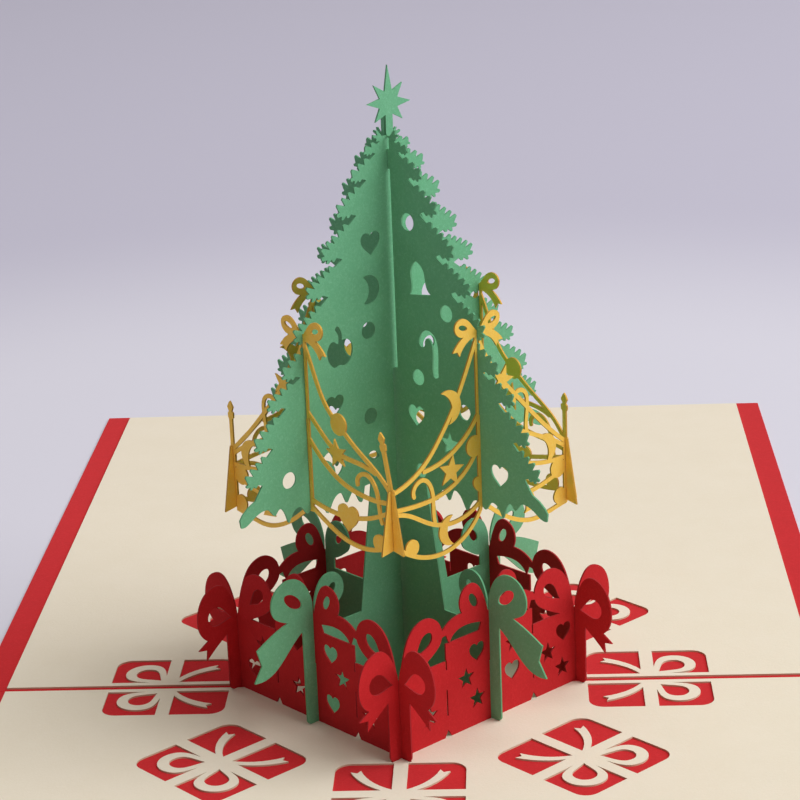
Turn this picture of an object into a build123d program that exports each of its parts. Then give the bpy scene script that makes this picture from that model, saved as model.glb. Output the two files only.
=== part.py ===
"""Pop-up Christmas card, open flat, with a sliceform tree standing on its spine.

All sizes are millimetres. +Z is up and the card lies on z = 0. The spine runs along X
through the origin, and the front leaf reaches towards -Y.

One folded cover carries two die-cut liner sheets. On them stands a diamond box of four
slotted wall sheets, around two slotted tree sheets that cross on the centre line. Four
slotted garland sheets make a second diamond around the crown of the tree. Every sheet is
drawn flat, with x along the sheet and y as its height above the liner.
"""
from build123d import *
import os
from math import atan2, cos, degrees, pi, sin, sqrt

# Card
leaf = 150.0              # side of one square leaf, and the length of the spine
cover_t = 0.35            # cover card
liner_t = 0.30            # liner card
border = 5.0              # margin of cover that shows at the sides of the liners
far_border = 0.8          # and at their far edges
spine_gap = 1.5           # strip of cover that shows between the two liners
score_w = 0.6             # scored fold line in the cover
score_d = 0.12

# Presents cut out of the liners
present = 21.0            # outer side of one present
present_r = 2.6           # rounded outer corners
present_ribbon = 2.3      # card left standing as the ribbon
present_gap = 2.0         # from the box corner to the nearest present
present_count = 8

# Sliced sheets
sheet_t = 0.30            # card of the tree, walls and garlands
slot_play = 0.08          # clearance on each side of a sheet in its slot
box_corner = 28.83        # centre line to each corner of the wall diamond
garland_corner = 27.76    # centre line to each corner of the garland diamond

# Walls
low_h = 13.5              # low presents at the corners
tall_h = 16.5             # tall present in the middle of each wall
tall_half = 10.0          # half its width
strip_w = 2.5             # upright strip past each crossing
corner_joint = 7.0        # height where two walls' slots meet
wall_joint = 10.5         # height where a wall's slot meets a tree sheet's

# Tree
crown_half = 34.6         # half width at the lowest boughs
crown_low = 38.8          # height of the lowest bough tips
crown_top = 98.0          # height that the bough tips are set out from
valley = 95.9             # bottom of the dip beside the star's stem
needle_l = 1.35           # needles along the top of a bough
needle_w = 0.38
needle_pitch = 1.9
needle_start = 0.22       # share of the bough before its first needle
needle_turn = 66          # degrees above level for the innermost needle
needle_fan = 36           # and how much lower the outermost one points
star_at = (0.7, 101.1)    # the star sits a little to one side
stem_w = 1.5
tree_joint = 57.0         # height where the two tree sheets' slots meet
slot_ease = 0.5           # extra width on one side of the slot that takes the star's sheet
slot_grip = (90.5, 93.7)  # heights between which that slot holds the sheet tightly
trunk_top = 6.4           # half width of the trunk under the boughs
trunk_low = 10.0          # half width of the trunk at the base web
web_h = 16.4              # base web between the trunk and the walls

# Garlands
hang_top = 67.0           # knot of each garland's bow
garland_joint = 53.0      # height where a garland's slot meets a tree sheet's
fin_joint = 40.0          # height where two garlands' slots meet
skirt_low, skirt_top = 32.7, 43.9            # skirt at the side and back corners
front_low, front_top = 35.0, 45.4            # skirt at the front corner, which rides higher
skirt_out = 2.5           # its width past the corner, at the foot
skirt_in = 0.6            # and before the corner
cord_w = 0.72             # drawn cords
strip_half = 0.74         # half the width of the middle strip
candle_h = 7.9            # candle above the skirt
front_candle_h = 9.4
candle_lean = 12          # degrees that the front candle leans to one side

# Worked out from the values above
liner_top = cover_t + liner_t
wall_half = box_corner / sqrt(2)
garland_half = garland_corner / sqrt(2)
slot_w = sheet_t + 2 * slot_play
liner_half = leaf / 2 - border
present_ring = box_corner + present_gap + present / 2


# ---------------------------------------------------------------- flat drawing

def moved(points, at=(0, 0), angle=0.0, size=1.0):
    """Scale a list of points, turn it by an angle in degrees and shift it."""
    c, s = cos(angle * pi / 180) * size, sin(angle * pi / 180) * size
    return [(at[0] + c * x - s * y, at[1] + s * x + c * y) for x, y in points]


def join(faces):
    """One drawing from a list of overlapping faces."""
    return faces[0] + faces[1:]


def box(x0, y0, x1, y1):
    """Upright rectangle between two corners."""
    return Pos((x0 + x1) / 2, (y0 + y1) / 2) * Rectangle(x1 - x0, y1 - y0)


def disc(at, r):
    """Round spot."""
    return Pos(*at) * Circle(r)


def shape(*edges):
    """Face inside a chain of edges."""
    return make_face(list(edges))


def polygon(points):
    """Face with straight sides through a list of points."""
    return make_face(Polyline(*points, close=True))


def blob(points):
    """Face inside one smooth closed curve through the points."""
    return make_face(Spline(*points, periodic=True))


def drop(tip, end, width):
    """Pointed drop from its tip to its round end."""
    length = sqrt((end[0] - tip[0]) ** 2 + (end[1] - tip[1]) ** 2)
    angle = degrees(atan2(end[1] - tip[1], end[0] - tip[0]))
    shares = [(0, 0), (0.32, 0.30), (0.70, 0.50), (0.94, 0.28)]
    upper = [(x * length, y * width) for x, y in shares]
    lower = [(x, -y) for x, y in upper[::-1]]
    return make_face(Spline(*moved(upper + [(length, 0)] + lower, tip, angle)))


def oval(at, length, width, angle=0.0):
    """Ellipse turned by an angle in degrees."""
    return Pos(*at) * Rot(0, 0, angle) * Ellipse(length / 2, width / 2)


def ribbon(points, w0, w1=None, notch=0.0):
    """Band along a smooth path, from width w0 to w1, with a round end or a fishtail."""
    w1 = w0 if w1 is None else w1
    path = Spline(*points)
    count = 2 * len(points) - 1
    left, right = [], []
    for i in range(count):
        t = i / (count - 1)
        at, way = path @ t, path % t
        half = (w0 + (w1 - w0) * t) / 2
        left.append((at.X - way.Y * half, at.Y + way.X * half))
        right.append((at.X + way.Y * half, at.Y - way.X * half))
    start, start_way, end, end_way = path @ 0, path % 0, path @ 1, path % 1
    back = (start.X - start_way.X * w0 / 2, start.Y - start_way.Y * w0 / 2)
    if notch:
        dip = (end.X - end_way.X * notch, end.Y - end_way.Y * notch)
        finish = Polyline(left[-1], dip, right[-1])
    else:
        bulge = (end.X + end_way.X * w1 / 2, end.Y + end_way.Y * w1 / 2)
        finish = ThreePointArc(left[-1], bulge, right[-1])
    return shape(Spline(*left), finish, Spline(*right[::-1]), ThreePointArc(right[0], back, left[0]))


def star(at, r, points=5, waist=0.42, angle=90.0):
    """Regular star with its first point at an angle in degrees."""
    spots = []
    for i in range(2 * points):
        a = (angle + 180 * i / points) * pi / 180
        radius = r if i % 2 == 0 else r * waist
        spots.append((at[0] + radius * cos(a), at[1] + radius * sin(a)))
    return polygon(spots)


def heart(at, size, angle=0.0):
    """Heart as wide as its size, point down."""
    right = [(0, -0.48), (0.26, -0.25), (0.48, 0.06), (0.46, 0.31), (0.25, 0.43), (0, 0.30)]
    left = [(-x, y) for x, y in right[::-1]]
    return shape(Spline(*moved(right, at, angle, size)), Spline(*moved(left, at, angle, size)))


def moon(at, height, angle=0.0, horns=0.42):
    """Crescent with its back to -X before it is turned; horns is how far its ends reach round."""
    spots = [(horns, 0.90), (-1, 0), (horns, -0.90), (horns - 0.48, 0)]
    top, back, foot, inner = moved(spots, at, angle, height / 1.8)
    return shape(ThreePointArc(top, back, foot), ThreePointArc(foot, inner, top))


def bell(at, height, angle=8.0):
    """Hand bell outline, mouth down, swung by an angle."""
    right = [(0, 0.52), (0.16, 0.41), (0.27, 0.22), (0.285, 0), (0.31, -0.24), (0.46, -0.44)]
    left = [(-x, y) for x, y in right[::-1]]
    mouth = Line(*moved([right[-1], left[0]], at, angle, height))
    return shape(Spline(*moved(right, at, angle, height)), mouth, Spline(*moved(left, at, angle, height)))


def cane(at, height, width, side=1):
    """Walking-stick sweet with its crook towards +X or -X."""
    hook = [(0, -0.5), (0, 0.2), (0.10, 0.42), (0.27, 0.48), (0.42, 0.38), (0.46, 0.22)]
    return ribbon([(at[0] + side * x * height, at[1] + y * height) for x, y in hook], width)


def apple(at, size):
    """Apple with a short stem."""
    body = [(0, 0.30), (0.24, 0.38), (0.46, 0.24), (0.50, -0.04), (0.36, -0.34), (0.14, -0.44), (0, -0.40),
            (-0.14, -0.44), (-0.36, -0.34), (-0.50, -0.04), (-0.46, 0.24), (-0.24, 0.38)]
    stem = moved([(0, 0.3), (0.02, 0.55), (-0.07, 0.74)], at, 0, size)
    return blob(moved(body, at, 0, size)) + ribbon(stem, 0.13 * size, 0.17 * size)


def slot(x, y0, y1):
    """Slot for a crossing sheet, between two heights."""
    return box(x - slot_w / 2, y0, x + slot_w / 2, y1)


def sheet(sketch, at, way):
    """Cut a drawing from sheet card and stand it on the liner, centred on its drawing plane."""
    along = Vector(*way).normalized()
    plane = Plane(origin=(*at, liner_top), x_dir=along, z_dir=along.cross(Vector(0, 0, 1)))
    return extrude(plane * sketch, amount=sheet_t / 2, both=True)


# ---------------------------------------------------------------- cover and liners

def cover():
    """Folded cover, opened flat, with its score along the spine."""
    card = Pos(0, 0, cover_t / 2) * Box(leaf, 2 * leaf, cover_t)
    groove = polygon([(-score_w / 2, cover_t), (0, cover_t - score_d), (score_w / 2, cover_t)])
    return card - extrude(Plane.YZ * groove, amount=leaf / 2, both=True)


def loop_quarter():
    """Quarter of a present with the bow's loop left standing: the windows around and in it."""
    near, tip = present_ribbon / 2, present_ribbon * 0.8
    outer = drop((near / 2, near / 2), (0.70 * present / 2, 0.70 * present / 2), 0.34 * present)
    inner = drop((tip, tip), (0.57 * present / 2, 0.57 * present / 2), 0.19 * present)
    return [quarter() - outer, inner]


def tail_quarter():
    """Quarter of a present with one tail of the bow left standing."""
    far = present / 2
    path = [(0.05 * far, 0.05 * far), (0.30 * far, 0.42 * far), (0.74 * far, 0.68 * far)]
    return [quarter() - ribbon(path, 0.9, 1.7, notch=0.7)]


def quarter():
    """Quarter of a present between two ribbons, with its outer corner rounded."""
    near, far, r = present_ribbon / 2, present / 2, present_r
    mid = far - r + r * cos(pi / 4)
    return shape(Polyline((near, far), (near, near), (far, near), (far, far - r)),
                 ThreePointArc((far, far - r), (mid, mid), (far - r, far)),
                 Line((far - r, far), (near, far)))


def present_windows(turns):
    """Windows of the present at one eighth of a turn, set apart where it straddles the spine."""
    windows = []
    for side in (1, -1):
        for flip, faces in ((1, loop_quarter()), (-1, tail_quarter())):
            for face in faces:
                face = face if flip == 1 else mirror(face, about=Plane.YZ)
                face = face if side == 1 else mirror(face, about=Plane.XZ)
                on_spine = turns % (present_count // 2) == 0
                apart = side * spine_gap / 2 if on_spine else 0
                windows.append(Rot(0, 0, 360 / present_count * turns) * Pos(present_ring, apart) * face)
    return windows


def tab_span():
    """Where a wall's glue tab starts and ends past its crossing."""
    return sheet_t / 2 + slot_play + 0.25, strip_w - 0.35


def tab_slits(side):
    """Slits for the two tabs at the front corner, side -1, or at the back one, side 1."""
    near, far = tab_span()
    slit = box(near - slot_play, -slot_w / 2, far + slot_play, slot_w / 2)
    return [Pos(0, side * box_corner) * Rot(0, 0, side * 90 + turn) * slit for turn in (45, -45)]


def liner(side, windows):
    """Liner sheet of one leaf; side is -1 at the front and 1 at the back."""
    blank = box(-liner_half, spine_gap / 2, liner_half, leaf - far_border)
    blank = blank if side == 1 else mirror(blank, about=Plane.XZ)
    cuts = [window for window in windows if window.center().Y * side > 0]
    return extrude(Pos(0, 0, cover_t) * (blank - (cuts + tab_slits(side))), amount=liner_t)


# ---------------------------------------------------------------- walls

def foot(x0, x1, y1, r):
    """Upright strip on the liner with the outer corner of its foot rounded."""
    k = r * (1 - cos(pi / 4))
    return shape(Polyline((x1 - r, 0), (x0, 0), (x0, y1), (x1, y1), (x1, r)),
                 ThreePointArc((x1, r), (x1 - k, k), (x1 - r, 0)))


def both_sides(faces):
    """Faces drawn on the +x side, with their mirror images."""
    return list(faces) + [mirror(face, about=Plane.YZ) for face in faces]


def wall_solid_parts():
    """What a wall is made of on its +x side: presents, middle bow and corner bow."""
    corner = lambda *points: moved(points, (wall_half, low_h))
    return [
        box(0, 0, wall_half, low_h),
        box(0, 0, tall_half, tall_h),
        foot(wall_half - 0.5, wall_half + strip_w, low_h, 0.9),
        polygon([(0, tall_h - 0.5), (2.6, tall_h - 0.5), (1.2, tall_h + 2.8), (0, tall_h + 2.8)]),
        blob(moved([(0.2, 2.2), (1.3, 6.2), (3.5, 8.7), (5.7, 8.0), (6.5, 5.2), (5.1, 2.9), (2.6, 1.7)],
                   (0, tall_h))),
        ribbon(moved([(0.6, 2.0), (4.0, 2.9), (7.6, 2.8), (10.4, 0.5)], (0, tall_h)), 1.8, 2.8, 1.2),
        blob(corner((-0.2, -0.6), (-1.4, 4.5), (-3.6, 7.9), (-6.4, 8.7), (-9.2, 6.9), (-9.5, 3.9),
                    (-6.6, 1.4), (-3.0, -0.3))),
        blob(corner((0.2, -1.2), (1.2, 3.6), (3.8, 6.3), (6.7, 5.4), (8.5, 1.8), (7.8, -1.9),
                    (6.0, -3.3), (3.1, -2.4))),
        ribbon(corner((1.2, -1.4), (4.3, -3.0), (7.9, -5.4)), 1.4, 2.7, 1.3),
    ]


def wall_windows():
    """Holes in the bows and the slits between the presents, on the +x side."""
    slit = sheet_t / 2
    return [
        oval((3.5, tall_h + 5.7), 2.9, 1.5, 58),
        drop((wall_half - 3.7, low_h + 2.7), (wall_half - 7.3, low_h + 5.9), 2.3),
        drop((wall_half + 1.4, low_h - 0.2), (wall_half + 6.3, low_h + 1.4), 3.4),
        box(tall_half - slit, low_h - 1.6, tall_half + slit, low_h + 0.1),
        box(tall_half - slit, 0.28 * low_h, tall_half + slit, 0.62 * low_h),
        polygon([(tall_half - 0.8, -0.1), (tall_half, 1.3), (tall_half + 0.8, -0.1)]),
    ]


def wall(stars, hearts, slot_from_below, tab_side):
    """Drawing of one wall sheet; tab_side is the end glued through the liner."""
    near, far = tab_span()
    body = join(both_sides(wall_solid_parts()))
    tab = [box(wall_half + near, -liner_t, wall_half + far, 1)]
    body = body + (tab if tab_side == 1 else [mirror(tab[0], about=Plane.YZ)])
    cuts = both_sides(wall_windows())
    cuts += [star(at, 1.9) for at in stars] + [heart(at, 3.5) for at in hearts]
    top = low_h + 12
    low, high = (-1, corner_joint) if slot_from_below else (corner_joint, top)
    cuts += [slot(x, low, high) for x in (-wall_half, wall_half)]
    cuts.append(slot(0, -1, wall_joint))
    return body - cuts


# ---------------------------------------------------------------- tree

# Tip of each bough, as shares of the crown's half width and height, with its size.
boughs = [(0.145, 0.929, 0.60), (0.231, 0.865, 0.80), (0.324, 0.777, 1.0), (0.428, 0.668, 1.05),
          (0.530, 0.575, 1.1), (0.616, 0.466, 1.0), (0.699, 0.372, 0.90), (0.795, 0.297, 0.90),
          (0.884, 0.196, 0.90), (0.946, 0.102, 0.80)]
# End of a bough, from its tip back along its underside to the notch where the next one starts.
underside = [(-0.5, 0.42), (0.05, 0.2), (0.1, -0.1), (-0.15, -0.32), (-1.0, -0.3), (-0.85, -0.85),
             (-1.15, -0.95), (-1.9, -0.35), (-2.1, -0.8), (-2.4, -0.8), (-2.9, -0.3), (-4.0, -0.75)]
# Small needles at the very top, from the valley beside the star's stem to the first bough's notch.
top_needles = [(1.0, 0), (1.95, 1.1), (2.25, 1.0), (1.95, 0.3), (2.9, 0.5), (3.0, 0.2), (2.2, -0.2),
               (2.35, -0.6), (2.05, -0.65), (1.5, -0.7)]
# Wavy lower edge of the crown, from the end of the lowest bough in to the trunk.
hem_span = 34.6
hem = [(34.3, -0.5), (33.4, -0.5), (31.9, 0.3), (30.0, 1.1), (28.4, 0.8), (27.3, -0.3), (26.4, 0.5),
       (25.4, -0.2), (24.5, -2.3), (23.4, -0.7), (21.8, -0.4), (20.6, -1.8), (19.2, -0.9), (17.4, -1.3),
       (16.2, -3.0), (14.9, -1.1), (13.1, -0.4), (12.0, -2.3), (10.7, -0.8), (9.3, -2.8), (8.0, -0.5)]


def comb(start, tip):
    """Blunt needles along the top of a bough, from a notch out to near its tip."""
    run_x, run_y = tip[0] - start[0], tip[1] - start[1]
    length = sqrt(run_x ** 2 + run_y ** 2)
    count = max(2, round(length / needle_pitch))
    points = []
    for i in range(count):
        share = needle_start + (1 - needle_start) * (i + 0.55) / (count + 0.6)
        before = needle_start + (1 - needle_start) * i / (count + 0.6)
        reach = needle_l * min(1, 0.35 + length / 12) * min(1, 0.35 + share)
        foot_at = (start[0] + run_x * share, start[1] + run_y * share)
        end = [(reach, needle_w / 2), (reach, -needle_w / 2)]
        points += moved([(run_x * before, run_y * before)], start)
        points += moved(end, foot_at, needle_turn - needle_fan * share)
    return points


def crown_side():
    """Crown on its +x side: straight-cut boughs from the top down, and a smooth hem."""
    points = [(0, valley)] + moved(top_needles, (0, valley))
    for share_x, share_y, size in boughs:
        tip = (share_x * crown_half, crown_low + share_y * (crown_top - crown_low))
        points += comb(points[-1], tip) + moved(underside, tip, 0, size)
    points += moved([(-3.4, 3.2), (-1.9, 2.5), (-0.7, 1.6), (-0.1, 0.8)], (crown_half, crown_low))
    low = [(crown_half / hem_span * x, crown_low + y) for x, y in hem]
    return shape(Polyline(*points, low[0]), Spline(*low), Polyline(low[-1], (0, crown_low), points[0]))


def crown_and_trunk():
    """Crown, trunk and base web of a tree sheet on its +x side."""
    trunk = polygon([(0, 0), (trunk_low, 0), (trunk_low, web_h), (trunk_top, crown_low + 0.4),
                     (0, crown_low + 0.4)])
    return [crown_side(), trunk, box(0, 0, wall_half, web_h)]


def base_bow():
    """Strip, loops and tail of the bow that ties a wall's middle, on the +x side."""
    end = lambda *points: moved(points, (wall_half, web_h))
    tail = shape(Spline(*end((0.4, 2.6), (4.4, 3.1), (8.4, 2.0), (12.3, 0.1))),
                 Polyline(*end((12.3, 0.1), (11.4, -2.8), (13.1, -5.4))),
                 Spline(*end((13.1, -5.4), (8.6, -4.6), (5.4, -1.8), (2.4, 0.6))),
                 Polyline(*end((2.4, 0.6), (0.4, 0.6), (0.4, 2.6))))
    return [
        foot(wall_half - 0.5, wall_half + strip_w, web_h + 3.6, 0.9),
        box(wall_half - 2.4, web_h - 1, wall_half, web_h + 3.6),
        blob(end((0.2, 3.0), (0.8, 7.0), (3.4, 10.0), (6.5, 10.0), (8.8, 7.4), (8.3, 4.6), (5.7, 3.0),
                 (2.6, 2.2))),
        blob(end((-0.2, 3.0), (-0.8, 6.8), (-2.5, 8.8), (-4.7, 8.9), (-6.5, 7.0), (-6.4, 4.6), (-4.6, 3.0),
                 (-2.2, 2.0))),
        tail,
    ]


def tree_windows():
    """Bow holes and wall slots of a tree sheet, on the +x side."""
    return [
        oval((wall_half + 4.3, web_h + 6.3), 4.4, 2.0, 38),
        oval((wall_half - 3.9, web_h + 6.0), 2.7, 1.5, 125),
        slot(wall_half, wall_joint, web_h + 12),
        slot(garland_half, crown_low - 5, garland_joint),
    ]


def ornaments_front_left():
    """Cut-out ornaments on the front half of the sheet with the star."""
    return [heart((-4.5, 79.0), 4.2), moon((-5.4, 71.4), 4.4, 180), disc((-5.7, 64.6), 1.45),
            apple((-12.0, 62.3), 5.4), heart((-13.6, 53.7), 3.8), disc((-6.0, 50.0), 1.4),
            moon((-14.8, 43.8), 4.4, 215), oval((-5.7, 43.1), 2.3, 1.5, -20), disc((-24.0, 43.6), 1.4)]


def ornaments_front_right():
    """Cut-out ornaments on the front half of the plain sheet."""
    return [disc((4.4, 82.3), 1.45), bell((6.4, 73.1), 5.8), disc((12.8, 68.5), 1.4),
            cane((9.9, 61.0), 6.6, 1.35, -1), disc((5.7, 56.4), 1.35), heart((4.9, 49.7), 3.8),
            disc((16.4, 52.6), 1.3), heart((24.0, 43.6), 3.9), disc((5.6, 40.2), 1.2),
            star((12.6, 46.4), 2.3)]


def ornaments_back_right():
    """Cut-out ornaments on the back half of the sheet with the star."""
    return [heart((5.3, 80.2), 3.9), disc((8.4, 68.3), 2.0), disc((7.6, 59.4), 1.3),
            moon((14.6, 56.2), 4.4), heart((6.0, 46.6), 3.8), disc((15.4, 45.0), 1.7),
            star((23.3, 48.3), 1.9), disc((24.0, 43.6), 1.4)]


def ornaments_back_left():
    """Cut-out ornaments on the back half of the plain sheet."""
    return [disc((-5.3, 80.1), 1.4), disc((-7.9, 63.9), 1.5), bell((-8.6, 71.6), 4.6),
            disc((-11.2, 58.2), 1.6), heart((-15.7, 45.0), 3.8), star((-14.6, 52.2), 2.0),
            oval((-6.7, 40.3), 2.6, 1.7, 15), disc((-24.0, 43.6), 1.4)]


# Tips of the star, as angles in degrees and distances from its middle.
star_tips = [(90, 6.1), (43, 4.2), (-4, 4.75), (-46, 4.2), (-90, 3.0), (-137, 4.1), (-184, 4.65),
             (-226, 4.45)]
star_waist = 2.05


def tree_star():
    """Eight-pointed star with a long top spike, on its stem."""
    spots = []
    for (angle, reach), (following, _) in zip(star_tips, star_tips[1:] + [(-270, 0)]):
        spots += moved([(reach, 0)], star_at, angle)
        spots += moved([(star_waist, 0)], star_at, (angle + following) / 2)
    stem = box(star_at[0] - stem_w / 2, valley - 1, star_at[0] + stem_w / 2, star_at[1])
    return [polygon(spots), stem]


def tree(with_star):
    """Drawing of a tree sheet; the one with the star is slotted from below."""
    body = join(both_sides(crown_and_trunk() + base_bow()))
    edge = slot_w / 2
    if with_star:
        body = body + tree_star()
        ornaments = ornaments_front_left() + ornaments_back_right()
        middle_slot = [slot(0, -1, tree_joint), box(-edge - slot_ease, -1, 0, tree_joint)]
    else:
        body = body + box(-edge - 0.75, valley - 1, 0, star_at[1] - 1.6)
        ornaments = ornaments_back_left() + ornaments_front_right()
        middle_slot = [slot(0, tree_joint, crown_top + 4),
                       box(0, tree_joint, edge + slot_ease, slot_grip[0]),
                       box(0, slot_grip[1], edge + slot_ease, valley - 0.3)]
    return body - (both_sides(tree_windows()) + ornaments + middle_slot)


# ---------------------------------------------------------------- garlands

def span(points, side, droop):
    """Points given as a share of the way to the corner, and a height, as points on a sheet.

    Near a low corner they hang lower, by up to the droop."""
    return [(side * share * garland_half, height - droop * share ** 8) for share, height in points]


def garland_frame():
    """Middle strip and bow of a garland, on the +x side."""
    loop = drop((0.1, hang_top - 0.1), (4.9, hang_top + 1.7), 3.0)
    hole = oval((3.2, hang_top + 1.1), 1.9, 0.85, 20)
    return [
        box(0, crown_low - 1.6, strip_half, hang_top + 0.2),
        loop - hole,
        ribbon([(0.4, hang_top - 0.4), (2.8, hang_top - 1.0), (4.8, hang_top - 3.0)], 0.9, 1.7, 0.5),
    ]


def skirt(side, low, top):
    """Skirt at one corner, which flares past the crossing."""
    outline = [(-skirt_in, top), (skirt_in, top), (skirt_out, low), (-skirt_in, low + 0.5)]
    return polygon([(side * (garland_half + x), y) for x, y in outline])


def candle(side, foot_y, height, lean=0):
    """Candle on top of a corner skirt, leaning by an angle: stem, drips and flame."""
    stem = [(-0.4, -0.6 - height), (0.4, -0.6 - height), (0.4, -2), (-0.4, -2)]
    drips = [(-0.42, -3.2), (0.42, -3.1), (0.7, -2.9), (0.72, -2), (0.3, -1.75), (-0.3, -1.75), (-0.66, -2.2),
             (-0.62, -2.9)]
    flame = [(-0.28, -1.9), (0.28, -1.9), (0.72, -1.05), (0.3, -0.35), (0, 0), (-0.34, -0.4), (-0.72, -1.1)]
    tip = moved([(0, height)], (side * garland_half, foot_y), lean)[0]
    return [polygon(moved(points, tip, lean)) for points in (stem, drips, flame)]


def hearts_and_ball(side, droop):
    """Half garland with a ball, a star and a heart."""
    at = lambda share, height: span([(share, height)], side, droop)[0]
    cords = [
        [(0.02, 65.4), (0.13, 60.6), (0.26, 56.0), (0.42, 53.2), (0.62, 50.3), (0.84, 47.6), (0.99, 44.9)],
        [(0.02, 54.2), (0.19, 51.2), (0.36, 48.9), (0.60, 48.2), (0.82, 47.4)],
        [(0.02, 49.8), (0.19, 46.6), (0.40, 44.1), (0.62, 43.0), (0.82, 42.8), (0.99, 43.2)],
        [(0.02, 39.2), (0.25, 38.4), (0.46, 38.4), (0.72, 39.4), (0.99, 41.8)],
        [(0.02, 38.0), (0.25, 35.6), (0.46, 34.2), (0.68, 34.0), (0.99, 36.2)],
        [(0.60, 44.6), (0.63, 46.2), (0.71, 46.7), (0.80, 45.5), (0.85, 42.2), (0.88, 39.4)],
    ]
    return [ribbon(span(cord, side, droop), cord_w) for cord in cords] + [
        disc(at(0.40, 53.7), 1.85), star(at(0.36, 48.6), 2.5, angle=100), heart(at(0.47, 38.3), 4.9),
        disc(at(0.84, 35.8), 1.45)]


def moons_and_star(side, droop):
    """Half garland with two moons, a star and a ball."""
    at = lambda share, height: span([(share, height)], side, droop)[0]
    cords = [
        [(0.02, 65.6), (0.20, 58.6), (0.31, 55.0), (0.44, 51.6), (0.62, 47.9), (0.82, 45.6), (0.99, 44.7)],
        [(0.02, 53.2), (0.20, 49.6), (0.40, 47.5), (0.64, 46.6)],
        [(0.02, 48.2), (0.15, 44.8), (0.38, 42.2), (0.62, 41.4), (0.99, 41.8)],
        [(0.02, 38.4), (0.18, 36.8), (0.42, 36.5), (0.62, 37.9), (0.80, 40.0), (0.99, 41.0)],
        [(0.02, 37.0), (0.12, 34.6), (0.27, 32.7), (0.46, 31.8), (0.74, 32.8), (0.99, 36.1)],
        [(0.76, 43.0), (0.73, 44.9), (0.65, 45.3), (0.57, 43.6), (0.55, 40.8), (0.54, 37.6)],
    ]
    return [ribbon(span(cord, side, droop), cord_w) for cord in cords] + [
        moon(at(0.37, 55.8), 5.6, 195 if side == -1 else -15, 0.1), star(at(0.34, 45.2), 2.8, angle=80),
        disc(at(0.07, 48.0), 1.8), heart(at(0.01, 41.2), 3.4), moon(at(0.36, 35.3), 4.9, 0, 0.15),
        disc(at(0.80, 34.6), 1.45)]


def cane_and_bell(side, droop):
    """Half garland with a high star, a sweet cane, a crescent, a bell and two balls."""
    at = lambda share, height: span([(share, height)], side, droop)[0]
    cords = [
        [(0.02, 65.0), (0.13, 61.0), (0.27, 57.4), (0.46, 53.4), (0.70, 48.6), (0.99, 44.9)],
        [(0.02, 54.0), (0.25, 50.4), (0.52, 47.4), (0.76, 45.4), (0.99, 44.0)],
        [(0.02, 48.6), (0.25, 44.8), (0.50, 42.2), (0.76, 41.1), (0.99, 42.2)],
        [(0.02, 39.0), (0.30, 37.4), (0.58, 36.9), (0.80, 38.0), (0.99, 40.2)],
        [(0.02, 37.8), (0.20, 35.0), (0.40, 32.8), (0.61, 31.8), (0.80, 32.4), (0.99, 34.2)],
        [(0.54, 47.4), (0.55, 52.2), (0.52, 54.4), (0.45, 54.9), (0.40, 53.2)],
    ]
    return [ribbon(span(cord, side, droop), cord_w) for cord in cords] + [
        star(at(0.27, 57.6), 2.5, angle=70), moon(at(0.74, 43.4), 5.0, 200 if side == 1 else -20, 0.15),
        disc(at(0.90, 39.8), 1.7), disc(at(0.92, 34.9), 1.45), bell(at(0.56, 35.2), 3.6)]


def garland(left, right, with_candles):
    """Drawing of a garland sheet from its two halves; the one with candles is slotted from below.

    Its skirt rides higher at the front or back corner, which is the +x end of a sheet with candles."""
    high_end = 1 if with_candles else -1
    droop = front_top - skirt_top
    parts = both_sides(garland_frame())
    parts += left(-1, droop if high_end == 1 else 0) + right(1, droop if high_end == -1 else 0)
    parts += [skirt(high_end, front_low, front_top), skirt(-high_end, skirt_low, skirt_top)]
    if with_candles:
        parts += candle(high_end, front_top, front_candle_h, candle_lean)
        parts += candle(-high_end, skirt_top, candle_h)
    low, high = (skirt_low - 2, fin_joint) if with_candles else (fin_joint, front_top + 1)
    cuts = [slot(x, low, high) for x in (-garland_half, garland_half)]
    return join(parts) - (cuts + [slot(0, garland_joint, hang_top + 5)])


# ---------------------------------------------------------------- the card

def sheets():
    """Every standing sheet: its name, drawing, middle point in plan and direction."""
    d, e = box_corner / 2, garland_corner / 2
    fan, pine = (1, 1, 0), (1, -1, 0)
    stars_a = [(6.7, 9.5), (-4.5, 4.8), (-13.6, 9.5), (13.2, 4.6)]
    hearts_a = [(4.0, 13.2), (4.0, 4.2), (-4.6, 13.0), (-16.2, 4.6)]
    stars_b = [(-5.6, 9.0), (-3.2, 4.7), (5.4, 12.0), (13.6, 7.3), (17.0, 3.6), (-14.0, 5.0)]
    hearts_b = [(-3.0, 13.0), (5.0, 7.0), (17.4, 10.0)]
    return [
        ("tree_sheet_with_star", tree(True), (0, 0), fan),
        ("tree_sheet_plain", tree(False), (0, 0), pine),
        ("wall_front_left", wall(stars_a, hearts_a, True, 1), (-d, -d), (1, -1, 0)),
        ("wall_front_right", wall(stars_b, hearts_b, False, -1), (d, -d), (1, 1, 0)),
        ("wall_back_right", wall(stars_a, hearts_a, True, 1), (d, d), (-1, 1, 0)),
        ("wall_back_left", wall(stars_b, hearts_b, False, -1), (-d, d), (-1, -1, 0)),
        ("garland_front_left", garland(cane_and_bell, hearts_and_ball, True), (-e, -e), (1, -1, 0)),
        ("garland_front_right", garland(moons_and_star, cane_and_bell, False), (e, -e), (1, 1, 0)),
        ("garland_back_right", garland(hearts_and_ball, moons_and_star, True), (e, e), (-1, 1, 0)),
        ("garland_back_left", garland(hearts_and_ball, moons_and_star, False), (-e, e), (-1, -1, 0)),
    ]


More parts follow.
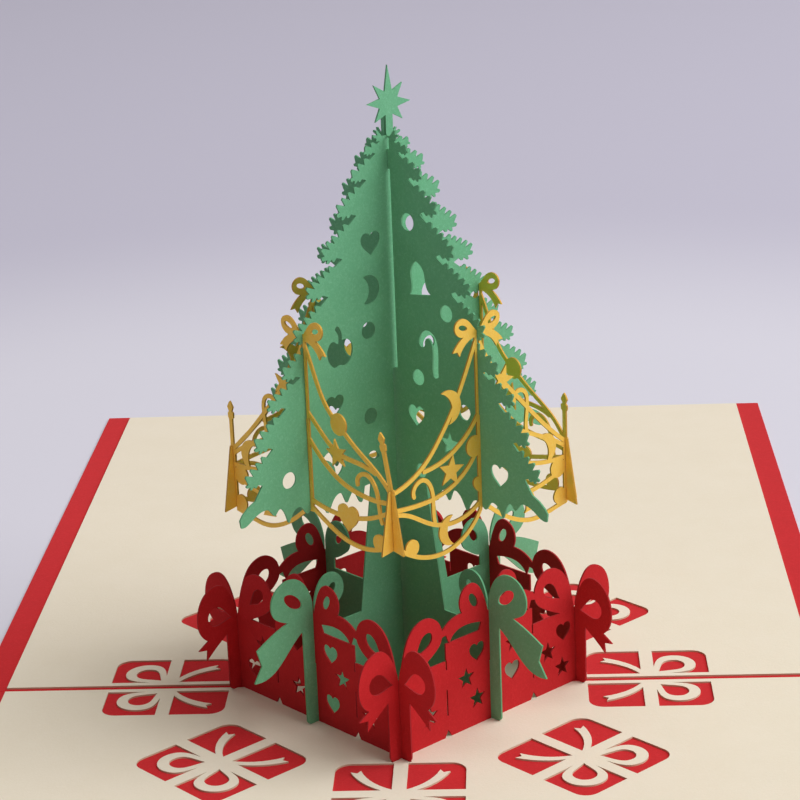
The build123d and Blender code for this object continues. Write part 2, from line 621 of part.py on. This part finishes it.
def main():
    """Build every piece and write one STEP file for each."""
    os.makedirs("parts", exist_ok=True)
    windows = [window for turns in range(present_count) for window in present_windows(turns)]
    pieces = {"cover": cover(), "liner_front": liner(-1, windows), "liner_back": liner(1, windows)}
    for name, drawing, at, way in sheets():
        pieces[name] = sheet(drawing, at, way)
    for name, piece in pieces.items():
        export_step(piece, f"parts/{name}.step")
        print(name, "solids", len(piece.solids()), "volume", round(piece.volume, 1))


if __name__ == "__main__":
    main()
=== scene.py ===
"""Pop-up Christmas card in slotted cut card, dressed, lit and stood on a pale table.

Everything is in metres, in the card's own frame: +Z is up from the open card, X runs along
the spine and -Y points towards the front leaf.
"""

from __future__ import annotations

import logging
import math
from dataclasses import dataclass
from enum import Enum

import bpy
import numpy as np
from mathutils import Matrix, Vector

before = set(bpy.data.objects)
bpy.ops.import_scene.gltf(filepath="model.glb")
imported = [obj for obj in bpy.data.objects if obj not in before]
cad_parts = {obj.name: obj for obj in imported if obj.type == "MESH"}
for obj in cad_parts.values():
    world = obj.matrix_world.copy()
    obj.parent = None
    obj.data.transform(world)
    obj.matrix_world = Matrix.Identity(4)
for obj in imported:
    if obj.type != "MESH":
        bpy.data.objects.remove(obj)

MM = 0.001
log = logging.getLogger("card")


class Lay(Enum):
    """Direction that the broad face of a sheet looks in."""

    FLAT = (0.0, 0.0, 1.0)
    FAN = (math.sqrt(0.5), -math.sqrt(0.5), 0.0)
    PINE = (math.sqrt(0.5), math.sqrt(0.5), 0.0)


def srgb(code: str) -> tuple[float, float, float, float]:
    """Turn an sRGB hex colour into linear light.

    Args:
        code: Six hex digits after a hash sign.

    Returns:
        Linear red, green and blue, and an alpha of one.
    """
    shares = [int(code[i : i + 2], 16) / 255 for i in (1, 3, 5)]
    linear = [s / 12.92 if s <= 0.04045 else ((s + 0.055) / 1.055) ** 2.4 for s in shares]
    return (*linear, 1.0)


def add(
    tree: bpy.types.NodeTree,
    kind: str,
    settings: dict[str, object] | None = None,
    links: dict[str | int, bpy.types.NodeSocket] | None = None,
) -> bpy.types.Node:
    """Add one node with its settings and the links that feed it.

    Args:
        tree: Node tree that gets the node.
        kind: Blender's name for the node type.
        settings: Values by the name of a property, or of an input where there is no such
            property; an input may also be named by its number, as in "#1".
        links: Output sockets by the name or number of the input that each one feeds.

    Returns:
        The new node.
    """
    node = tree.nodes.new(kind)
    for name, value in (settings or {}).items():
        if name.startswith("#"):
            node.inputs[int(name[1:])].default_value = value
        elif hasattr(node, name):
            setattr(node, name, value)
        else:
            node.inputs[name].default_value = value
    for name, socket in (links or {}).items():
        tree.links.new(socket, node.inputs[name])
    return node


def noise(
    tree: bpy.types.NodeTree,
    place: bpy.types.NodeSocket,
    grain_mm: float,
    detail: float,
    roughness: float,
    distortion: float = 0.0,
) -> bpy.types.NodeSocket:
    """Add a noise pattern.

    Args:
        tree: Node tree that gets the node.
        place: Coordinates that the pattern follows.
        grain_mm: Width of the largest grain.
        detail: Number of finer layers.
        roughness: Strength of each finer layer in the one before.
        distortion: How far the pattern is twisted.

    Returns:
        The pattern's height, about 0 to 1.
    """
    settings = {
        "Scale": 1 / (grain_mm * MM),
        "Detail": detail,
        "Roughness": roughness,
        "Distortion": distortion,
    }
    return add(tree, "ShaderNodeTexNoise", settings, {"Vector": place}).outputs[0]


def stretch(
    tree: bpy.types.NodeTree,
    value: bpy.types.NodeSocket,
    low: float,
    high: float,
    most: float = 1.0,
    easing: str = "LINEAR",
) -> bpy.types.NodeSocket:
    """Stretch a band of values to run from zero to a largest value.

    Args:
        tree: Node tree that gets the node.
        value: Values to stretch.
        low: Value that becomes zero.
        high: Value that becomes the largest one.
        most: The largest value.
        easing: Blender's name for the way between the two.

    Returns:
        The stretched value.
    """
    settings = {
        "From Min": low,
        "From Max": high,
        "To Max": most,
        "interpolation_type": easing,
    }
    return add(tree, "ShaderNodeMapRange", settings, {"Value": value}).outputs[0]


def blend(
    tree: bpy.types.NodeTree,
    share: bpy.types.NodeSocket,
    under: str | bpy.types.NodeSocket,
    over: str,
) -> bpy.types.NodeSocket:
    """Blend one colour over another.

    Args:
        tree: Node tree that gets the node.
        share: How much of the upper colour shows.
        under: Hex colour or colour socket below.
        over: Hex colour above.

    Returns:
        The blended colour.
    """
    settings: dict[str, object] = {"data_type": "RGBA", "#7": srgb(over)}
    links: dict[str | int, bpy.types.NodeSocket] = {0: share}
    if isinstance(under, str):
        settings["#6"] = srgb(under)
    else:
        links[6] = under
    return add(tree, "ShaderNodeMix", settings, links).outputs[2]


def blank(title: str) -> bpy.types.Material:
    """Make a material with an empty node tree.

    Args:
        title: Name of the material.

    Returns:
        The material.
    """
    made = bpy.data.materials.new(title)
    made.use_nodes = True
    made.node_tree.nodes.clear()
    return made


@dataclass(frozen=True)
class DyedCard:
    """Uncoated cardstock dyed through and pressed with a fine felt, cut with a hot beam.

    The eye sees one dull colour with a faint cloudy mottle from the sheet's formation, short
    pale and dark fibres, a low tooth that catches a raking light, and edges that the cut has
    turned a little. Card has the roughness of paper and hardly any gloss.
    """

    name: str
    face: str
    fibre: str
    cloud: str
    edge: str
    roughness: float = 0.88
    specular: float = 0.25
    # Metal share; on the gold it reflects a surround painted brighter than its light, a painted
    # reflection.
    shimmer_with_painted_reflection: float = 0.0
    fuzz: float = 0.08
    fuzz_roughness: float = 0.6
    cloud_mm: float = 9.0
    cloud_amount: float = 0.35
    # Real fibres are about 0.03 mm wide and felt marks 0.2 mm: both are drawn coarser to show.
    fibre_mm: float = 0.55
    fibre_amount: float = 0.65
    tooth_mm: float = 0.42
    tooth_depth_mm: float = 0.05
    tooth_strength: float = 0.7
    edge_lean: float = 0.6

    def material(self, lay: Lay) -> bpy.types.Material:
        """Make the card for sheets whose broad faces look in one direction.

        Args:
            lay: Direction of the broad faces; every other face is a cut edge.

        Returns:
            The material, or the one made before for the same card and direction.
        """
        title = f"{self.name}_{lay.name.lower()}"
        if title in bpy.data.materials:
            return bpy.data.materials[title]
        made = blank(title)
        tree = made.node_tree
        place = add(tree, "ShaderNodeTexCoord").outputs["Object"]
        face = self._face_colour(tree, place)
        shader = add(
            tree,
            "ShaderNodeBsdfPrincipled",
            {
                "Roughness": self.roughness,
                "Specular IOR Level": self.specular,
                "Metallic": self.shimmer_with_painted_reflection,
                "Sheen Weight": self.fuzz,
                "Sheen Roughness": self.fuzz_roughness,
            },
            {
                "Base Color": blend(tree, self._edge_share(tree, lay), face, self.edge),
                "Normal": self._tooth(tree, place),
            },
        )
        add(tree, "ShaderNodeOutputMaterial", None, {"Surface": shader.outputs["BSDF"]})
        return made

    def _face_colour(
        self, tree: bpy.types.NodeTree, place: bpy.types.NodeSocket
    ) -> bpy.types.NodeSocket:
        """Mottle the face colour with clouds and then with short fibres.

        Args:
            tree: Node tree of the material.
            place: Object coordinates.

        Returns:
            The colour socket.
        """
        clouds = noise(tree, place, self.cloud_mm, detail=3.0, roughness=0.6)
        cloud_share = stretch(tree, clouds, 0.35, 0.70, self.cloud_amount)
        clouded = blend(tree, cloud_share, self.face, self.cloud)
        fibres = noise(tree, place, self.fibre_mm, detail=5.0, roughness=0.75, distortion=1.2)
        fibre_share = stretch(tree, fibres, 0.48, 0.72, self.fibre_amount)
        return blend(tree, fibre_share, clouded, self.fibre)

    def _edge_share(self, tree: bpy.types.NodeTree, lay: Lay) -> bpy.types.NodeSocket:
        """Tell cut edges from broad faces by how far a face looks away from the sheet's side.

        Args:
            tree: Node tree of the material.
            lay: Direction of the broad faces.

        Returns:
            A socket that is one on the cut edges and zero on the broad faces.
        """
        looks = add(tree, "ShaderNodeNewGeometry").outputs["True Normal"]
        along = add(
            tree, "ShaderNodeVectorMath", {"operation": "DOT_PRODUCT", "#1": lay.value}, {0: looks}
        ).outputs["Value"]
        lean = add(tree, "ShaderNodeMath", {"operation": "ABSOLUTE"}, {0: along}).outputs[0]
        settings = {"operation": "LESS_THAN", "#1": self.edge_lean}
        return add(tree, "ShaderNodeMath", settings, {0: lean}).outputs[0]

    def _tooth(
        self, tree: bpy.types.NodeTree, place: bpy.types.NodeSocket
    ) -> bpy.types.NodeSocket:
        """Raise the felt's marks as a low, rounded bump.

        Args:
            tree: Node tree of the material.
            place: Object coordinates.

        Returns:
            The normal socket.
        """
        marks = noise(tree, place, self.tooth_mm, detail=4.0, roughness=0.6)
        settings = {"Strength": self.tooth_strength, "Distance": self.tooth_depth_mm * MM}
        return add(tree, "ShaderNodeBump", settings, {"Height": marks}).outputs["Normal"]


RED_CARD = DyedCard(
    "red_dyed_cardstock", face="#C90C16", fibre="#DA222B", cloud="#B80911", edge="#B0151D"
)
CREAM_CARD = DyedCard(
    "cream_dyed_cardstock",
    face="#EDE1CC",
    fibre="#F4EADA",
    cloud="#E8DBC3",
    edge="#D8C8AA",
    fibre_amount=0.35,
)
GREEN_CARD = DyedCard(
    "green_dyed_cardstock", face="#70BA8B", fibre="#8ED0A5", cloud="#66B281", edge="#63A87A"
)
# Gold card, pearl-metallic: a painted reflection of an over-bright surround lifts and warms its
# shade.
GOLD_CARD = DyedCard(
    "gold_pearl_painted_reflection_cardstock",
    face="#FFD052",
    fibre="#FFDC78",
    cloud="#F8C440",
    edge="#C8942E",
    roughness=0.55,
    shimmer_with_painted_reflection=0.35,
)


@dataclass(frozen=True)
class SheetGroup:
    """Sheets cut from one card, each with the direction that its broad faces look in."""

    title: str
    card: DyedCard
    sheets: dict[str, Lay]

    def dress(self) -> None:
        """Give every sheet its card."""
        for name, lay in self.sheets.items():
            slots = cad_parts[name].data.materials
            slots.clear()
            slots.append(self.card.material(lay))
            log.info("%s: %s in %s", self.title, name, self.card.name)


@dataclass(frozen=True)
class FoldedCard:
    """Open cover with its two die-cut liners."""

    cover: SheetGroup = SheetGroup("cover", RED_CARD, {"cover": Lay.FLAT})
    liners: SheetGroup = SheetGroup(
        "liners", CREAM_CARD, {"liner_front": Lay.FLAT, "liner_back": Lay.FLAT}
    )

    def dress(self) -> None:
        """Dress the cover and the liners."""
        self.cover.dress()
        self.liners.dress()


def diamond(stem: str) -> dict[str, Lay]:
    """Name the four sheets of a diamond around the tree, with their directions.

    Args:
        stem: First word of the sheets' names.

    Returns:
        Each sheet's direction by its name.
    """
    return {
        f"{stem}_front_left": Lay.PINE,
        f"{stem}_front_right": Lay.FAN,
        f"{stem}_back_right": Lay.PINE,
        f"{stem}_back_left": Lay.FAN,
    }


@dataclass(frozen=True)
class PopUp:
    """Tree, box of presents and garlands that stand on the card."""

    tree: SheetGroup = SheetGroup(
        "tree", GREEN_CARD, {"tree_sheet_with_star": Lay.FAN, "tree_sheet_plain": Lay.PINE}
    )
    walls: SheetGroup = SheetGroup("walls", RED_CARD, diamond("wall"))
    garlands: SheetGroup = SheetGroup("garlands", GOLD_CARD, diamond("garland"))

    def dress(self) -> None:
        """Dress every standing sheet."""
        for group in (self.tree, self.walls, self.garlands):
            group.dress()


@dataclass(frozen=True)
class Table:
    """Pale lavender table running on past the view, with painted light fading away from the card.
    """

    radius: float = 6.0
    first_share: float = 0.002
    rings: int = 48
    spokes: int = 96
    # Painted light: lighter near the card and darker far off, standing in for light falling off.
    near: str = "#DBD8E3"
    far: str = "#C6C2D2"
    near_reach: float = 0.20
    far_reach: float = 0.36

    def build(self) -> bpy.types.Object:
        """Build the table as a disc.

        A point at share u of the radius and turn v lies at radius u squared times the full
        radius, in the direction of v, on height zero, so the rings are close near the card.

        Returns:
            The table's object.
        """
        share, turn = np.meshgrid(
            np.linspace(self.first_share, 1, self.rings),
            np.linspace(0, 2 * np.pi, self.spokes, endpoint=False),
            indexing="ij",
        )
        reach = self.radius * share**2
        points = np.stack([reach * np.cos(turn), reach * np.sin(turn), np.zeros_like(turn)], -1)
        ring, spoke = np.meshgrid(np.arange(self.rings - 1), np.arange(self.spokes), indexing="ij")
        following = (spoke + 1) % self.spokes
        corners = [
            ring * self.spokes + spoke,
            (ring + 1) * self.spokes + spoke,
            (ring + 1) * self.spokes + following,
            ring * self.spokes + following,
        ]
        faces = np.stack(corners, -1).reshape(-1, 4).tolist()
        middle = list(range(self.spokes))
        mesh = bpy.data.meshes.new("table")
        mesh.from_pydata(points.reshape(-1, 3), [], [*faces, middle])
        mesh.materials.append(self._paper())
        table = bpy.data.objects.new("table", mesh)
        bpy.context.scene.collection.objects.link(table)
        log.info("table: %d faces", len(mesh.polygons))
        return table

    def _paper(self) -> bpy.types.Material:
        """Make matt background paper with painted light that fades with distance from the card.

        Returns:
            The material.
        """
        made = blank("background_paper_painted_falloff")
        tree = made.node_tree
        place = add(tree, "ShaderNodeTexCoord").outputs["Object"]
        reach = add(tree, "ShaderNodeVectorMath", {"operation": "LENGTH"}, {0: place})
        share = stretch(
            tree,
            reach.outputs["Value"],
            self.near_reach,
            self.far_reach,
            easing="SMOOTHSTEP",
        )
        shader = add(
            tree,
            "ShaderNodeBsdfPrincipled",
            {"Roughness": 0.95, "Specular IOR Level": 0.1},
            {"Base Color": blend(tree, share, self.near, self.far)},
        )
        add(tree, "ShaderNodeOutputMaterial", None, {"Surface": shader.outputs["BSDF"]})
        return made


@dataclass(frozen=True)
class Softbox:
    """Square area lamp aimed at the foot of the tree."""

    name: str
    place: tuple[float, float, float]
    side: float
    power: float
    colour: str
    aim: tuple[float, float, float] = (0.0, 0.0, 0.03)

    def build(self) -> bpy.types.Object:
        """Hang the lamp and turn it to its aim.

        Returns:
            The lamp's object.
        """
        lamp = bpy.data.lights.new(self.name, "AREA")
        lamp.shape = "SQUARE"
        lamp.size = self.side
        lamp.energy = self.power
        lamp.color = srgb(self.colour)[:3]
        hung = bpy.data.objects.new(self.name, lamp)
        bpy.context.scene.collection.objects.link(hung)
        towards = Vector(self.aim) - Vector(self.place)
        turn = towards.to_track_quat("-Z", "Y").to_matrix().to_4x4()
        hung.matrix_world = Matrix.Translation(self.place) @ turn
        log.info("lamp %s: %.1f W", self.name, self.power)
        return hung


@dataclass(frozen=True)
class Studio:
    """Soft key from the right, a wide top light, a low rim from behind, and a faint surround."""

    lamps: tuple[Softbox, ...] = (
        Softbox("key", place=(1.50, -0.20, 1.66), side=2.1, power=48.0, colour="#FAFCFF"),
        Softbox("top", place=(0.10, 0.45, 2.20), side=2.6, power=18.5, colour="#FFFDFA"),
        Softbox("rim", place=(1.90, 0.50, 1.05), side=1.4, power=5.0, colour="#FFFFFF"),
    )
    surround: str = "#FFF8EE"
    surround_strength: float = 0.12
    # Backdrop colour for camera rays, also given to reflections as a painted reflection.
    seen_and_reflected: str = "#BDB9C9"

    def build(self) -> None:
        """Hang the lamps and make the surround, which looks brighter than it lights."""
        for lamp in self.lamps:
            lamp.build()
        world = bpy.data.worlds.new("studio")
        world.use_nodes = True
        tree = world.node_tree
        tree.nodes.clear()
        path = add(tree, "ShaderNodeLightPath").outputs
        # Glossy and transmission rays see the bright backdrop too: a painted reflection, far
        # brighter than the surround's light.
        seen_and_reflected = path["Is Camera Ray"]
        for other in ("Is Glossy Ray", "Is Transmission Ray"):
            settings = {"operation": "MAXIMUM"}
            seen_and_reflected = add(tree, "ShaderNodeMath", settings, {0: seen_and_reflected, 1: path[other]}).outputs[0]
        light = add(
            tree,
            "ShaderNodeBackground",
            {"Color": srgb(self.surround), "Strength": self.surround_strength},
        ).outputs[0]
        backdrop_and_painted_reflection = add(
            tree, "ShaderNodeBackground", {"Color": srgb(self.seen_and_reflected), "Strength": 1.0}
        ).outputs[0]
        mixed = add(tree, "ShaderNodeMixShader", None, {0: seen_and_reflected, 1: light, 2: backdrop_and_painted_reflection})
        add(tree, "ShaderNodeOutputWorld", None, {"Surface": mixed.outputs[0]})
        bpy.context.scene.world = world
        log.info("surround at %.2f", self.surround_strength)


@dataclass(frozen=True)
class Viewpoint:
    """Long lens a little above the card's front leaf, looking slightly down."""

    place: tuple[float, float, float] = (0.02018, -0.38251, 0.17621)
    lens_mm: float = 109.19
    sensor_mm: float = 36.0
    nearest: float = 0.01
    farthest: float = 50.0
    yaw: float = -0.0513
    pitch: float = 0.3139
    roll: float = 0.0400

    def build(self) -> bpy.types.Object:
        """Set up the camera from its turn to the right, its tilt down and its roll.

        Returns:
            The camera's object.
        """
        lens = bpy.data.cameras.new("camera")
        lens.lens = self.lens_mm
        lens.sensor_width = self.sensor_mm
        lens.clip_start = self.nearest
        lens.clip_end = self.farthest
        seer = bpy.data.objects.new("camera", lens)
        bpy.context.scene.collection.objects.link(seer)
        ahead = Vector(
            (
                math.sin(self.yaw) * math.cos(self.pitch),
                math.cos(self.yaw) * math.cos(self.pitch),
                -math.sin(self.pitch),
            )
        )
        level = Vector((math.cos(self.yaw), -math.sin(self.yaw), 0.0))
        below = ahead.cross(level)
        right = math.cos(self.roll) * level + math.sin(self.roll) * below
        down = -math.sin(self.roll) * level + math.cos(self.roll) * below
        turn = Matrix((right, -down, -ahead)).transposed().to_4x4()
        seer.matrix_world = Matrix.Translation(self.place) @ turn
        bpy.context.scene.camera = seer
        log.info("camera: %.0f mm lens", self.lens_mm)
        return seer


def main() -> None:
    """Dress the card and build the studio."""
    logging.basicConfig(level=logging.INFO, format="%(name)s: %(message)s")
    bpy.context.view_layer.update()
    FoldedCard().dress()
    PopUp().dress()
    Table().build()
    Studio().build()
    Viewpoint().build()
    bpy.context.scene.view_settings.view_transform = "Standard"


if __name__ == "__main__":
    main()
